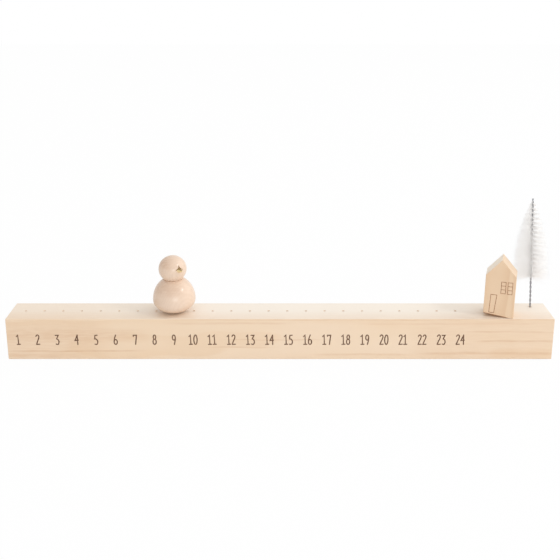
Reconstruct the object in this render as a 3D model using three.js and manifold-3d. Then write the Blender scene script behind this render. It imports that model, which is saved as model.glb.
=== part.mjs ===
// A wooden advent calendar: a beam with a peg hole for each day, a snowman that is moved from
// hole to hole, and a house and a twisted wire brush tree that are pegged in at the far end.
// Millimetres. +X runs along the beam from day 1 to day 24, +Y away from the side that carries
// the numbers, and +Z up. The origin is the middle of the beam's underside.
import * as THREE from "three";
import { mergeVertices } from "three/addons/utils/BufferGeometryUtils.js";
import Module from "manifold-3d";

const wasm = await Module();
wasm.setup();

// Beam
const beamLength = 500;
const beamDepth = 40;
const beamHeight = 40;
const beamEdge = 1.2; // radius of the long edges
const beamEndEdge = 0.6; // bevel round both ends

// Day holes
const dayCount = 24;
const dayPitch = 17.35;
const firstDayFromEnd = 13.8;

// All drilled holes
const holeEndRoom = 1.2; // left free past the end of a peg
const holeMouth = 0.25; // 45 degree break round the mouth
const drillPointAngle = 118;

// Clearances
const pegClearance = 0.2; // all round a peg, shank or stem in its hole
const dowelClearance = 0.15; // all round the neck dowel
const restGap = 0.3; // between faces that rest on each other, at the nearest

// Steel pegs under the snowman and the house
const pegRadius = 0.8;
const pegInBeam = 12;
const pegInFigure = 10;
const pegChamfer = 0.3;

// Snowman: two turned balls. The body is round above its widest place and squat below it, and
// each rise is the height that its half of the ball would have without the flat that ends it.
const snowmanDay = 9;
const snowmanLean = -1.5; // degrees towards day 24
const bodyRadius = 19.7;
const bodyRiseBelow = 12.8;
const bodyRiseAbove = 21.8;
const bodyFootRadius = 6.5;
const headRadius = 12.9;
const headRise = 12.4;
const neckRadius = 8.7; // flats of body and head where they meet
const dowelRadius = 2.5;
const dowelInBody = 9;
const dowelInHead = 8;
const dowelChamfer = 0.5;

// Nose: a brass cone on a shank
const noseTurn = 34; // degrees from the numbered side towards day 24
const noseLift = 8; // degrees above the middle of the head
const noseRadius = 2.1;
const noseRim = 0.35;
const noseLength = 6.2;
const noseTipRadius = 0.6;
const noseShankRadius = 0.7;
const noseShankLength = 5;

// House
const houseFromEnd = 48.4; // peg's axis to the beam's +X end
const houseBeforeRow = 6.5; // and to the row of day holes, on its numbered side
const houseLean = 0.6; // degrees towards day 24
const houseTurn = -16; // degrees
const houseWidth = 27;
const houseDepth = 19.6;
const houseWall = 39.5;
const houseRidge = 54.7;
const houseEdge = 0.5; // bevel round the front and the back

// Tree
const treeFromEnd = 14.8; // foot of the stem to the beam's +X end
const treeBehindRow = 10.5;
const treeLean = -3; // degrees towards day 24
const treeHeight = 105.5; // along the stem, from the beam's top
const stemInBeam = 14;
const wireRadius = 0.42;
const wireTwist = 8.6; // length of stem that holds one full turn, which winds to the left
const bristleStart = 30; // bare stem below the bristles
const bareTip = 2;
const skirtRadius = 18.6;
const treeTaper = 2.25; // power of the curve from the skirt to the tip
const tipSpread = 1.8; // reach of the topmost bristle
const bristleRoot = 0.2; // height of a bristle where it leaves the core
const bristleDroop = 3; // degrees
const tierCount = 4;
const bristlesPerTier = 50; // each one runs across the stem and shows on both sides
const coreWidth = 1.1; // the packed middles of the bristles, between the wires
const coreThickness = 0.34;
const coreClearance = 0.15; // between this core and each wire

// Facets
const drillSides = 12;
const pegSides = 12;
const dowelSides = 20;
const noseSides = 16;
const noseTipSteps = 4;
const ballSides = 36;
const ballSteps = 16;
const edgeSteps = 4;
const wireSides = 6;
const wireStepsPerTurn = 8;

const { degToRad } = THREE.MathUtils;

const pine = { color: 0xe8d3b4, roughness: 0.62, metalness: 0 };
const beech = { color: 0xe1c8af, roughness: 0.5, metalness: 0 };
const steel = { color: 0x9a9c9f, roughness: 0.35, metalness: 1 };
const brass = { color: 0xc8a24a, roughness: 0.28, metalness: 1 };
const nylon = { color: 0xf2f2f2, roughness: 0.55, metalness: 0 };

function makeMesh(name, geometry, finish) {
  const mesh = new THREE.Mesh(geometry, new THREE.MeshStandardMaterial(finish));
  mesh.name = name;
  return mesh;
}

// Turns a closed geometry into a solid that can be cut and joined.
function solidOf(geometry) {
  const bare = geometry.clone();
  bare.deleteAttribute("normal");
  bare.deleteAttribute("uv");
  const merged = mergeVertices(bare, 1e-4);
  return new wasm.Manifold(
    new wasm.Mesh({
      numProp: 3,
      vertProperties: new Float32Array(merged.attributes.position.array),
      triVerts: new Uint32Array(merged.index.array),
    }),
  );
}

// Turns a solid back into a geometry with flat facets.
function geometryOf(solid) {
  const { vertProperties, triVerts } = solid.getMesh();
  const indexed = new THREE.BufferGeometry();
  indexed.setAttribute("position", new THREE.BufferAttribute(vertProperties, 3));
  indexed.setIndex(new THREE.BufferAttribute(triVerts, 1));
  const faceted = indexed.toNonIndexed();
  faceted.computeVertexNormals();
  return faceted;
}

function cutAway(blank, cutters) {
  return geometryOf(cutters.reduce((rest, cutter) => rest.subtract(solidOf(cutter)), solidOf(blank)));
}

// Revolves [radius, height] pairs, listed from the bottom up, round +Z.
function turn(profile, sides) {
  const points = profile.map(([radius, height]) => new THREE.Vector2(radius, height));
  return new THREE.LatheGeometry(points, sides).rotateX(Math.PI / 2);
}

// A round rod from bottom to top, with both rims chamfered.
function makeRod(radius, bottom, top, chamfer, sides) {
  const profile = [
    [0, bottom],
    [radius - chamfer, bottom],
    [radius, bottom + chamfer],
    [radius, top - chamfer],
    [radius - chamfer, top],
    [0, top],
  ];
  return turn(profile, sides);
}

// The space that a drill leaves below height 0, with its pointed end and the broken rim.
function drillHole(radius, depth) {
  const point = radius / Math.tan(degToRad(drillPointAngle / 2));
  const above = radius;
  const profile = [
    [0, -depth - point],
    [radius, -depth],
    [radius, -holeMouth],
    [radius + holeMouth + above, above],
    [0, above],
  ];
  return turn(profile, drillSides);
}

// The same space, drilled upwards into a face that looks down.
function drillUp(radius, depth) {
  return drillHole(radius, depth).rotateX(Math.PI);
}

// A closed tube through rings of points. Each ring turns anticlockwise round the way ahead. Where
// spikes[ring][side] holds a point, that side's panel is drawn out to a spike that ends there.
function loft(rings, spikes = []) {
  const sides = rings[0].length;
  const last = (rings.length - 1) * sides;
  const points = rings.flat();
  const indices = [];
  for (let ring = 0; ring < rings.length - 1; ring++) {
    for (let side = 0; side < sides; side++) {
      const a = ring * sides + side;
      const b = ring * sides + ((side + 1) % sides);
      const tip = spikes[ring]?.[side];
      if (tip) {
        const c = points.push(tip) - 1;
        indices.push(a, b, c, b, b + sides, c, b + sides, a + sides, c, a + sides, a, c);
      } else {
        indices.push(a, b, b + sides, a, b + sides, a + sides);
      }
    }
  }
  for (let side = 1; side < sides - 1; side++) {
    indices.push(0, side + 1, side);
    indices.push(last, last + side, last + side + 1);
  }
  const indexed = new THREE.BufferGeometry().setFromPoints(points);
  indexed.setIndex(indices);
  const faceted = indexed.toNonIndexed();
  faceted.computeVertexNormals();
  return faceted;
}

// A ball that rises this far below and above its widest place, cut flat where its radius is foot
// and crown.
function flattenedBall(radius, riseBelow, riseAbove, footRadius, crownRadius) {
  const low = -Math.acos(footRadius / radius);
  const high = Math.acos(crownRadius / radius);
  const profile = [[0, riseBelow * Math.sin(low)]];
  for (let step = 0; step <= ballSteps; step++) {
    const angle = low + ((high - low) * step) / ballSteps;
    const rise = angle < 0 ? riseBelow : riseAbove;
    profile.push([radius * Math.cos(angle), rise * Math.sin(angle)]);
  }
  if (crownRadius > 0) {
    profile.push([0, riseAbove * Math.sin(high)]);
  } else {
    profile[profile.length - 1][0] = 0;
  }
  return turn(profile, ballSides);
}

// How far a flat of this radius lies from the widest place of a ball.
function flatDistance(radius, rise, flatRadius) {
  return rise * Math.sin(Math.acos(flatRadius / radius));
}

// A frame on the beam's top, with its +Z along the peg that is set there.
function makeSeat(x, y, lean) {
  const seat = new THREE.Group();
  seat.position.set(x, y, beamHeight);
  seat.rotation.y = degToRad(lean);
  seat.updateMatrix();
  return seat;
}

// How far up its own axis a leaning figure sits, so that the edge of its flat base clears the beam.
function seatHeight(baseRadius, lean) {
  const angle = Math.abs(degToRad(lean));
  return (restGap + baseRadius * Math.sin(angle)) / Math.cos(angle);
}

function dayX(day) {
  return -beamLength / 2 + firstDayFromEnd + (day - 1) * dayPitch;
}

// Two wires wind round the core of the bristles, each at this distance from the stem's axis.
const wireOffset = coreThickness / 2 + coreClearance + wireRadius;
const stemRadius = wireOffset + wireRadius;

const snowmanSeat = makeSeat(dayX(snowmanDay), 0, snowmanLean);
const houseSeat = makeSeat(beamLength / 2 - houseFromEnd, -houseBeforeRow, houseLean);
const treeSeat = makeSeat(beamLength / 2 - treeFromEnd, treeBehindRow, treeLean);

// The bar before it is drilled: its section has four rounded corners and runs along X.
function makeBar() {
  const back = beamDepth / 2;
  const section = new THREE.Shape();
  section.moveTo(beamEdge - back, 0);
  section.absarc(back - beamEdge, beamEdge, beamEdge, -Math.PI / 2, 0);
  section.absarc(back - beamEdge, beamHeight - beamEdge, beamEdge, 0, Math.PI / 2);
  section.absarc(beamEdge - back, beamHeight - beamEdge, beamEdge, Math.PI / 2, Math.PI);
  section.absarc(beamEdge - back, beamEdge, beamEdge, Math.PI, Math.PI * 1.5);
  const bar = new THREE.ExtrudeGeometry(section, {
    depth: beamLength - 2 * beamEndEdge,
    curveSegments: edgeSteps,
    bevelEnabled: true,
    bevelThickness: beamEndEdge,
    bevelSize: beamEndEdge,
    bevelOffset: -beamEndEdge,
    bevelSegments: 1,
  });
  const sectionToYZ = new THREE.Matrix4().makeBasis(
    new THREE.Vector3(0, 1, 0),
    new THREE.Vector3(0, 0, 1),
    new THREE.Vector3(1, 0, 0),
  );
  return bar.applyMatrix4(sectionToYZ).translate(beamEndEdge - beamLength / 2, 0, 0);
}

function makeBeam() {
  const pegHole = drillHole(pegRadius + pegClearance, pegInBeam + holeEndRoom);
  const stemHole = drillHole(stemRadius + pegClearance, stemInBeam + holeEndRoom);
  const holes = [
    pegHole.clone().applyMatrix4(houseSeat.matrix),
    stemHole.applyMatrix4(treeSeat.matrix),
  ];
  // All are drilled plumb but the one that the snowman leans in.
  for (let day = 1; day <= dayCount; day++) {
    const plumb = new THREE.Matrix4().makeTranslation(dayX(day), 0, beamHeight);
    holes.push(pegHole.clone().applyMatrix4(day === snowmanDay ? snowmanSeat.matrix : plumb));
  }
  return makeMesh("beam", cutAway(makeBar(), holes), pine);
}

// A peg runs from inside the beam into a figure whose base is at this height.
function makePeg(name, base) {
  const top = base + pegInFigure;
  return makeMesh(name, makeRod(pegRadius, -pegInBeam, top, pegChamfer, pegSides), steel);
}

// The hole in the foot of a figure, for its steel peg.
function pegSocket() {
  return drillUp(pegRadius + pegClearance, pegInFigure + holeEndRoom);
}

function makeSnowman() {
  const bodyBottom = seatHeight(bodyFootRadius, snowmanLean);
  const bodyMiddle = bodyBottom + flatDistance(bodyRadius, bodyRiseBelow, bodyFootRadius);
  const bodyTop = bodyMiddle + flatDistance(bodyRadius, bodyRiseAbove, neckRadius);
  const headFoot = bodyTop + restGap;
  const headMiddle = headFoot + flatDistance(headRadius, headRise, neckRadius);

  const bodyBall = flattenedBall(
    bodyRadius,
    bodyRiseBelow,
    bodyRiseAbove,
    bodyFootRadius,
    neckRadius,
  );
  const neckHoleRadius = dowelRadius + dowelClearance;
  const body = cutAway(bodyBall, [
    pegSocket().translate(0, 0, bodyBottom - bodyMiddle),
    drillHole(neckHoleRadius, dowelInBody + holeEndRoom).translate(0, 0, bodyTop - bodyMiddle),
  ]);

  // The nose points outwards from where its axis leaves the head.
  const lift = degToRad(noseLift);
  const noseReach = 1 / Math.hypot(Math.cos(lift) / headRadius, Math.sin(lift) / headRise);
  const noseFrame = new THREE.Group();
  noseFrame.rotation.set(Math.PI / 2 - lift, 0, degToRad(noseTurn), "ZYX");
  noseFrame.updateMatrix();
  const noseHole = drillHole(noseShankRadius + pegClearance, noseShankLength + holeEndRoom);
  const head = cutAway(flattenedBall(headRadius, headRise, headRise, neckRadius, 0), [
    drillUp(neckHoleRadius, dowelInHead + holeEndRoom).translate(0, 0, headFoot - headMiddle),
    noseHole.translate(0, 0, noseReach).applyMatrix4(noseFrame.matrix),
  ]);
  const nose = makeMesh("snowman_nose", makeNose(), brass);
  nose.position.z = noseReach + restGap;
  noseFrame.position.z = headMiddle;
  noseFrame.add(nose);

  const bodyMesh = makeMesh("snowman_body", body, beech);
  bodyMesh.position.z = bodyMiddle;
  const headMesh = makeMesh("snowman_head", head, beech);
  headMesh.position.z = headMiddle;
  const dowelBottom = bodyTop - dowelInBody;
  const dowelTop = headFoot + dowelInHead;
  const dowel = makeRod(dowelRadius, dowelBottom, dowelTop, dowelChamfer, dowelSides);
  const dowelMesh = makeMesh("snowman_neck_dowel", dowel, beech);
  snowmanSeat.add(makePeg("snowman_peg", bodyBottom), bodyMesh, dowelMesh, headMesh, noseFrame);
  return snowmanSeat;
}

// The cone starts at height 0, above its shank.
function makeNose() {
  const profile = [
    [0, -noseShankLength],
    [noseShankRadius, -noseShankLength],
    [noseShankRadius, 0],
    [noseRadius, 0],
    [noseRadius, noseRim],
  ];
  for (let step = 0; step <= noseTipSteps; step++) {
    const angle = (Math.PI / 2) * (step / noseTipSteps);
    const radius = step < noseTipSteps ? noseTipRadius * Math.cos(angle) : 0;
    profile.push([radius, noseLength + noseTipRadius * (Math.sin(angle) - 1)]);
  }
  return turn(profile, noseSides);
}

function makeHouse() {
  const wall = houseWidth / 2;
  const outline = new THREE.Shape();
  outline.moveTo(-wall, 0);
  outline.lineTo(wall, 0);
  outline.lineTo(wall, houseWall);
  outline.lineTo(0, houseRidge);
  outline.lineTo(-wall, houseWall);
  const block = new THREE.ExtrudeGeometry(outline, {
    depth: houseDepth - 2 * houseEdge,
    bevelEnabled: true,
    bevelThickness: houseEdge,
    bevelSize: houseEdge,
    bevelOffset: -houseEdge,
    bevelSegments: 1,
  });
  block.rotateX(Math.PI / 2).translate(0, houseDepth / 2 - houseEdge, 0);
  const blockMesh = makeMesh("house_block", cutAway(block, [pegSocket()]), pine);
  const base = seatHeight(Math.hypot(houseWidth, houseDepth) / 2, houseLean);
  blockMesh.position.z = base;
  blockMesh.rotation.z = degToRad(houseTurn);
  houseSeat.add(makePeg("house_peg", base), blockMesh);
  return houseSeat;
}

// The direction in which a bristle at this height leaves the stem.
function twistAt(height) {
  const angle = (-2 * Math.PI * height) / wireTwist;
  return new THREE.Vector3(Math.cos(angle), Math.sin(angle), 0);
}

// One wire of the pair, on this side (1 or -1) of the bristles.
function makeWire(side) {
  const up = new THREE.Vector3(0, 0, 1);
  const length = stemInBeam + treeHeight;
  const steps = Math.ceil((length / wireTwist) * wireStepsPerTurn);
  const rise = wireTwist / (2 * Math.PI);
  const rings = [];
  for (let step = 0; step <= steps; step++) {
    const height = -stemInBeam + (length * step) / steps;
    const inward = twistAt(height);
    const outward = new THREE.Vector3().crossVectors(up, inward).multiplyScalar(side);
    const ahead = new THREE.Vector3().crossVectors(outward, up).multiplyScalar(wireOffset);
    ahead.addScaledVector(up, rise).normalize();
    const across = new THREE.Vector3().crossVectors(ahead, outward);
    const centre = outward.clone().multiplyScalar(wireOffset).setZ(height);
    const ring = [];
    for (let corner = 0; corner < wireSides; corner++) {
      const angle = (2 * Math.PI * corner) / wireSides;
      const point = centre.clone();
      point.addScaledVector(outward, wireRadius * Math.cos(angle));
      point.addScaledVector(across, wireRadius * Math.sin(angle));
      ring.push(point);
    }
    rings.push(ring);
  }
  return loft(rings);
}

// A level slice of the packed bristle middles that the two wires clamp.
function coreSlice(height) {
  const along = twistAt(height);
  const across = new THREE.Vector3(-along.y, along.x, 0);
  const corners = [[1, -1], [1, 1], [-1, 1], [-1, -1]];
  return corners.map(([end, face]) => {
    const corner = new THREE.Vector3(0, 0, height);
    corner.addScaledVector(along, (end * coreWidth) / 2);
    return corner.addScaledVector(across, (face * coreThickness) / 2);
  });
}

// How far the bristles reach at a height on the stem.
function reachAt(height) {
  const share = (height - bristleStart) / (treeHeight - bareTip - bristleStart);
  return tipSpread + (skirtRadius - tipSpread) * (1 - share ** treeTaper);
}

// The tip of a bristle on one side (1 or -1) of the stem.
function bristleTip(height, side) {
  const reach = reachAt(height);
  const tip = twistAt(height).multiplyScalar(side * reach);
  return tip.setZ(height - reach * Math.tan(degToRad(bristleDroop)));
}

// A length of the twisted core, with bristles that run through it one above the other.
function makeTier(bottom, length) {
  const pitch = length / bristlesPerTier;
  const slices = [];
  const spikes = [];
  for (let bristle = 0; bristle < bristlesPerTier; bristle++) {
    const height = bottom + (bristle + 0.5) * pitch;
    slices.push(coreSlice(height - bristleRoot / 2), coreSlice(height + bristleRoot / 2));
    spikes.push([bristleTip(height, 1), null, bristleTip(height, -1), null], []);
  }
  return loft(slices, spikes);
}

function makeTree() {
  treeSeat.add(makeMesh("tree_wire_a", makeWire(1), steel));
  treeSeat.add(makeMesh("tree_wire_b", makeWire(-1), steel));
  const tierHeight = (treeHeight - bareTip - bristleStart) / tierCount;
  for (let tier = 0; tier < tierCount; tier++) {
    const bristles = makeTier(bristleStart + tier * tierHeight, tierHeight - restGap);
    treeSeat.add(makeMesh(`tree_bristles_${tier + 1}`, bristles, nylon));
  }
  return treeSeat;
}

const calendar = new THREE.Group();
calendar.name = "advent_calendar";
calendar.add(makeBeam(), makeSnowman(), makeHouse(), makeTree());

export default calendar;
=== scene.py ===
# Looks of the wooden advent calendar: beam, snowman, house and brush tree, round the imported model.
import math
import bmesh
import bpy
import numpy as np
from mathutils import Matrix, Vector


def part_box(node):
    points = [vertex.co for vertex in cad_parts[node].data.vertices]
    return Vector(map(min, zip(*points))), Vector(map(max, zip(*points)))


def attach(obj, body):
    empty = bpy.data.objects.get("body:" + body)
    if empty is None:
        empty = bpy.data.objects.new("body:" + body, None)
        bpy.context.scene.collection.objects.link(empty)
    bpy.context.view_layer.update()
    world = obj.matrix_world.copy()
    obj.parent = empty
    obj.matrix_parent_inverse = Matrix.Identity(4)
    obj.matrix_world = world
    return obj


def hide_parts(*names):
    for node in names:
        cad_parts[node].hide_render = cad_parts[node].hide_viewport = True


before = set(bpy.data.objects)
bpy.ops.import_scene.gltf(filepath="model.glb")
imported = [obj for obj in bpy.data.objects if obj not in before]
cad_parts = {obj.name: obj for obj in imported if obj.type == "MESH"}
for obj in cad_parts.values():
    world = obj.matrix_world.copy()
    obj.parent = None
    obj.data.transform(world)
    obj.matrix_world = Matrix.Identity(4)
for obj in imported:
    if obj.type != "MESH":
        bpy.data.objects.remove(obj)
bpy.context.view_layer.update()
scene = bpy.context.scene
scene.view_settings.view_transform = "Standard"
mm = 0.001
print("frame loaded:", len(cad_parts), "nodes")


# Shader node helpers. A graph is the node tree of a material, of the world or of a group. Most helpers
# find it through the sockets that they are given.

def plug(socket, value):
    if isinstance(value, bpy.types.NodeSocket):
        socket.id_data.links.new(value, socket)
    else:
        socket.default_value = value


def plugAll(node, inputs):
    for name, value in inputs.items():
        plug(node.inputs[name], value)


def addNode(graph, kind, inputs, **settings):
    node = graph.nodes.new(kind)
    for name, value in settings.items():
        setattr(node, name, value)
    plugAll(node, inputs)
    return node


def graphOf(values):
    return next(value.id_data for value in values if isinstance(value, bpy.types.NodeSocket))


def doMath(operation, *values):
    inputs = dict(enumerate(values))
    return addNode(graphOf(values), "ShaderNodeMath", inputs, operation=operation).outputs[0]


# Turns a value between low and high into one between first and last, and holds it there.
def remap(value, low, high, first=0.0, last=1.0):
    inputs = {"Value": value, "From Min": low, "From Max": high, "To Min": first, "To Max": last}
    return addNode(value.id_data, "ShaderNodeMapRange", inputs, interpolation_type="SMOOTHSTEP").outputs[0]


def mixColour(factor, first, second):
    node = addNode(factor.id_data, "ShaderNodeMix", {}, data_type="RGBA")
    sockets = {socket.identifier: socket for socket in node.inputs}
    plug(sockets["Factor_Float"], factor)
    plug(sockets["A_Color"], first)
    plug(sockets["B_Color"], second)
    return next(socket for socket in node.outputs if socket.identifier == "Result_Color")


def splitVector(vector):
    return addNode(vector.id_data, "ShaderNodeSeparateXYZ", {"Vector": vector}).outputs


def joinVector(x, y=0.0, z=0.0):
    return addNode(x.id_data, "ShaderNodeCombineXYZ", {"X": x, "Y": y, "Z": z}).outputs[0]


def addNoise(vector, scale, detail=2.0, offset=(0, 0, 0)):
    graph = vector.id_data
    moved = addNode(graph, "ShaderNodeMapping", {"Vector": vector, "Scale": scale, "Location": offset})
    inputs = {"Vector": moved.outputs[0], "Scale": 1.0, "Detail": detail}
    return addNode(graph, "ShaderNodeTexNoise", inputs).outputs["Fac"]


# A group and its sockets. The kind of a socket follows from its value: a number, a vector or a colour.
def newGroup(name, inputs, outputs):
    graph = bpy.data.node_groups.new(name, "ShaderNodeTree")
    for side, values in (("INPUT", inputs), ("OUTPUT", outputs)):
        for socketName, value in values.items():
            kind = "Float" if isinstance(value, float) else {3: "Vector", 4: "Color"}[len(value)]
            socket = graph.interface.new_socket(socketName, in_out=side, socket_type="NodeSocket" + kind)
            socket.default_value = value
    return graph, graph.nodes.new("NodeGroupInput").outputs, graph.nodes.new("NodeGroupOutput").inputs


def placeGroup(group, inputs):
    return addNode(graphOf(inputs.values()), "ShaderNodeGroup", inputs, node_tree=group).outputs


def newMaterial(name, settings):
    material = bpy.data.materials.new(name)
    material.use_nodes = True
    graph = material.node_tree
    shader = graph.nodes["Principled BSDF"]
    plugAll(shader, settings)
    return material, graph, shader


# A colour as a screen shows it, 0 to 255, in the linear values that the shaders take.
def screenColour(red, green, blue):
    shares = [value / 255 for value in (red, green, blue)]
    linear = [s / 12.92 if s <= 0.04045 else ((s + 0.055) / 1.055) ** 2.4 for s in shares]
    return (*linear, 1.0)


# The point being shaded, in millimetres, with its own axes turned and moved as a piece's timber lies.
def timberPoint(graph, rotation=(0, 0, 0), location=(0, 0, 0)):
    place = graph.nodes.new("ShaderNodeTexCoord").outputs["Object"]
    inputs = {"Vector": place, "Scale": (1 / mm,) * 3, "Location": location}
    scaled = addNode(graph, "ShaderNodeMapping", inputs).outputs[0]
    turned = addNode(graph, "ShaderNodeMapping", {"Vector": scaled, "Rotation": rotation})
    return turned.outputs[0]


# How far a face looks along one of its object's axes, from -1 to 1.
def facing(graph, axis):
    return splitVector(graph.nodes.new("ShaderNodeTexCoord").outputs["Normal"])[axis]


# Timber. Noise scales are per millimetre, along the grain and across it.

timber = {
    "drift": (1, 0.025, 0.025),  # of the noise that bends the rings; its length along the grain is Reach
    "driftOffsets": {"Y": (0, 0, 0), "Z": (40, 7, 3)}, "years": (0.45, 1, 1),
    "yearSpread": 1.6,  # how unevenly wide the rings are
    "darkening": (0.25, 0.86),  # shares of a ring between which its wood darkens
    "ending": (0.88, 1.0), "fibre": (0.05, 2.4, 2.4), "fibreRange": (0.3, 0.7),
    "tone": (0.7, 0.05, 0.05), "toneOffset": (3, 11, 5), "bandBend": (0.018, 0.7, 1),
    "bandCore": 0.15,  # share of a band's half width that is fully dark
    "bandPatches": (0.06, 0.6, 0.6), "patchOffset": (9, 2, 4),
    "patchRange": (0.3, 0.7, 0.45, 1.0),  # noise from and to, and the vein's strength at each
    "topLightFade": 0.35,
}


# Long grain: growth rings round a pith that runs along X, with fibres and a slow change of tone
def buildLongGrain():
    inputs = {"Point": (0, 0, 0), "Pith Y": -80.0, "Pith Z": 0.0, "Ring Width": 3.0, "Waver": 4.0}
    inputs["Reach"] = 100.0  # length along the grain over which the rings wander
    graph, given, result = newGroup("longGrain", inputs, {"Late Wood": 0.0, "Fibre": 0.0, "Tone": 0.0})
    point = given["Point"]
    parts = splitVector(point)
    slow = joinVector(doMath("DIVIDE", parts["X"], given["Reach"]), parts["Y"], parts["Z"])
    squares = []
    for axis, offset in timber["driftOffsets"].items():
        drift = doMath("SUBTRACT", addNoise(slow, timber["drift"], 1.5, offset), 0.5)
        away = doMath("SUBTRACT", parts[axis], given["Pith " + axis])
        away = doMath("MULTIPLY_ADD", drift, given["Waver"], away)
        squares.append(doMath("MULTIPLY", away, away))
    distance = doMath("SQRT", doMath("ADD", *squares))
    years = doMath("DIVIDE", distance, given["Ring Width"])
    uneven = addNoise(joinVector(years), timber["years"], 1.0)
    season = doMath("FRACT", doMath("MULTIPLY_ADD", uneven, timber["yearSpread"], years))
    darkening = remap(season, *timber["darkening"])
    ending = remap(season, *timber["ending"], 1.0, 0.0)
    plug(result["Late Wood"], doMath("MULTIPLY", darkening, ending))
    plug(result["Fibre"], addNoise(point, timber["fibre"], 3.0))
    plug(result["Tone"], addNoise(slow, timber["tone"], 2.0, timber["toneOffset"]))
    return graph


# One darker band at a height, between two places along it, such as a vein of grain; on the snowman's balls
# it is painted shade
def buildGrainVein():
    inputs = {"Point": (0, 0, 0), "Height": 0.0, "Half Width": 1.0, "From": 0.0, "To": 100.0}
    graph, given, result = newGroup("veinAndShadeBand", {**inputs, "Fade": 20.0, "Waver": 2.0}, {"Vein And Shade": 0.0})
    parts = splitVector(given["Point"])
    seed = joinVector(parts["X"], given["Height"])
    bend = doMath("SUBTRACT", addNoise(seed, timber["bandBend"]), 0.5)
    middle = doMath("MULTIPLY_ADD", bend, given["Waver"], given["Height"])
    off = doMath("ABSOLUTE", doMath("SUBTRACT", parts["Z"], middle))
    share = doMath("DIVIDE", off, given["Half Width"])
    veinAndShade = remap(share, timber["bandCore"], 1.0, 1.0, 0.0)
    for place, end in ((parts["X"], given["From"]), (given["To"], parts["X"])):
        inside = doMath("DIVIDE", doMath("SUBTRACT", place, end), given["Fade"])
        veinAndShade = doMath("MULTIPLY", veinAndShade, remap(inside, 0, 1))
    patches = addNoise(given["Point"], timber["bandPatches"], 2.0, timber["patchOffset"])
    uneven = remap(patches, *timber["patchRange"])
    plug(result["Vein And Shade"], doMath("MULTIPLY", veinAndShade, uneven))
    return graph


# Painted light: where bare wood looks up it is painted paler, standing in for the light and sheen that a
# top catches
def buildBleachedTop():
    white = (1, 1, 1, 1)
    inputs = {"Colour": white, "Painted Light": white, "Amount": 0.5}
    inputs["Level"] = 0.6  # how far a face has to look up before it is painted paler
    graph, given, result = newGroup("paintedTopLight", inputs, {"Colour": white})
    past = doMath("SUBTRACT", facing(graph, "Z"), given["Level"])
    share = doMath("MULTIPLY", remap(past, 0.0, timber["topLightFade"]), given["Amount"])
    plug(result["Colour"], mixColour(share, given["Colour"], given["Painted Light"]))
    return graph


longGrain = buildLongGrain()
veinAndShadeBand = buildGrainVein()
paintedTopLight = buildBleachedTop()
print("shader groups built")


# Grain between a light and a dark tone. A look is the dictionary of the piece that the wood is for.
def startWood(point, look):
    grain = placeGroup(longGrain, {"Point": point, **look["grain"]})
    late = doMath("MULTIPLY", grain["Late Wood"], look["lateWood"])
    return grain, mixColour(late, look["light"], look["dark"])


# Darker bands in the wood, such as veins of grain; on the snowman they are painted shade
def addVeins(point, colour, look):
    for height, halfWidth, start, stop, strength in look["veinsAndShadeBands"]:
        veinAndShade = placeGroup(veinAndShadeBand, {
            "Point": point, "Height": height, "Half Width": halfWidth,
            "From": start, "To": stop, "Fade": look["bandFade"], "Waver": look["bandWaver"],
        })["Vein And Shade"]
        colour = mixColour(doMath("MULTIPLY", veinAndShade, strength), colour, look["veinAndShade"])
    return colour


# Painted light: the colour of faces that look up is painted paler by an amount
def bleach(colour, amount, look):
    return placeGroup(paintedTopLight, {
        "Colour": colour, "Painted Light": look["topLightColour"], "Amount": amount, "Level": look["topLightLevel"],
    })["Colour"]


def finishWood(shader, colour, fibre, look):
    strength, distance = look["relief"]
    relief = {"Strength": strength, "Distance": distance, "Height": fibre}
    plugAll(shader, {
        "Base Color": colour,
        "Roughness": remap(fibre, *timber["fibreRange"], *look["roughness"]),
        "Normal": addNode(fibre.id_data, "ShaderNodeBump", relief).outputs[0],
    })


def addObject(name, data):
    added = bpy.data.objects.new(name, data)
    scene.collection.objects.link(added)
    return added


# Mesh helpers. They take millimetres and give Blender metres.

def newPiece(name, points, faces, materials):
    mesh = bpy.data.meshes.new(name)
    mesh.from_pydata([Vector(point) * mm for point in points], [], faces)
    mesh.validate()
    for material in materials:
        mesh.materials.append(material)
    return addObject(name, mesh)


def smoothShade(piece, sharpAngle=32):
    piece.data.shade_smooth()
    piece.data.set_sharp_from_angle(angle=math.radians(sharpAngle))
    normals = piece.modifiers.new("flatFaces", "WEIGHTED_NORMAL")
    normals.keep_sharp = True


# Faces between rings of as many points each, closed round, with both ends capped.
def ringFaces(ringCount, sides, first=0, caps=True):
    faces = []
    for ring in range(ringCount - 1):
        for side in range(sides):
            a = first + ring * sides + side
            b = first + ring * sides + (side + 1) % sides
            faces.append((a, b, b + sides, a + sides))
    if caps:
        faces.append(tuple(first + side for side in reversed(range(sides))))
        faces.append(tuple(first + (ringCount - 1) * sides + side for side in range(sides)))
    return faces


# Revolves (radius, height) pairs round Z. The first and the last lie on the axis.
def turnProfile(profile, sides):
    points = [(0, 0, profile[0][1])]
    for radius, height in profile[1:-1]:
        for side in range(sides):
            angle = 2 * math.pi * side / sides
            points.append((radius * math.cos(angle), radius * math.sin(angle), height))
    points.append((0, 0, profile[-1][1]))
    rings = len(profile) - 2
    faces = ringFaces(rings, sides, 1, caps=False)
    last = 1 + (rings - 1) * sides
    for side in range(sides):
        faces.append((0, 1 + (side + 1) % sides, 1 + side))
        faces.append((len(points) - 1, last + side, last + (side + 1) % sides))
    return points, faces


def movePoints(points, matrix):
    return [matrix @ Vector(point) for point in points]


# A piece turned round the axis of a seat.
def turnPiece(name, profile, sides, seat, materials):
    points, faces = turnProfile(profile, sides)
    return newPiece(name, *outward((movePoints(points, seat), faces)), materials)


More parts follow.
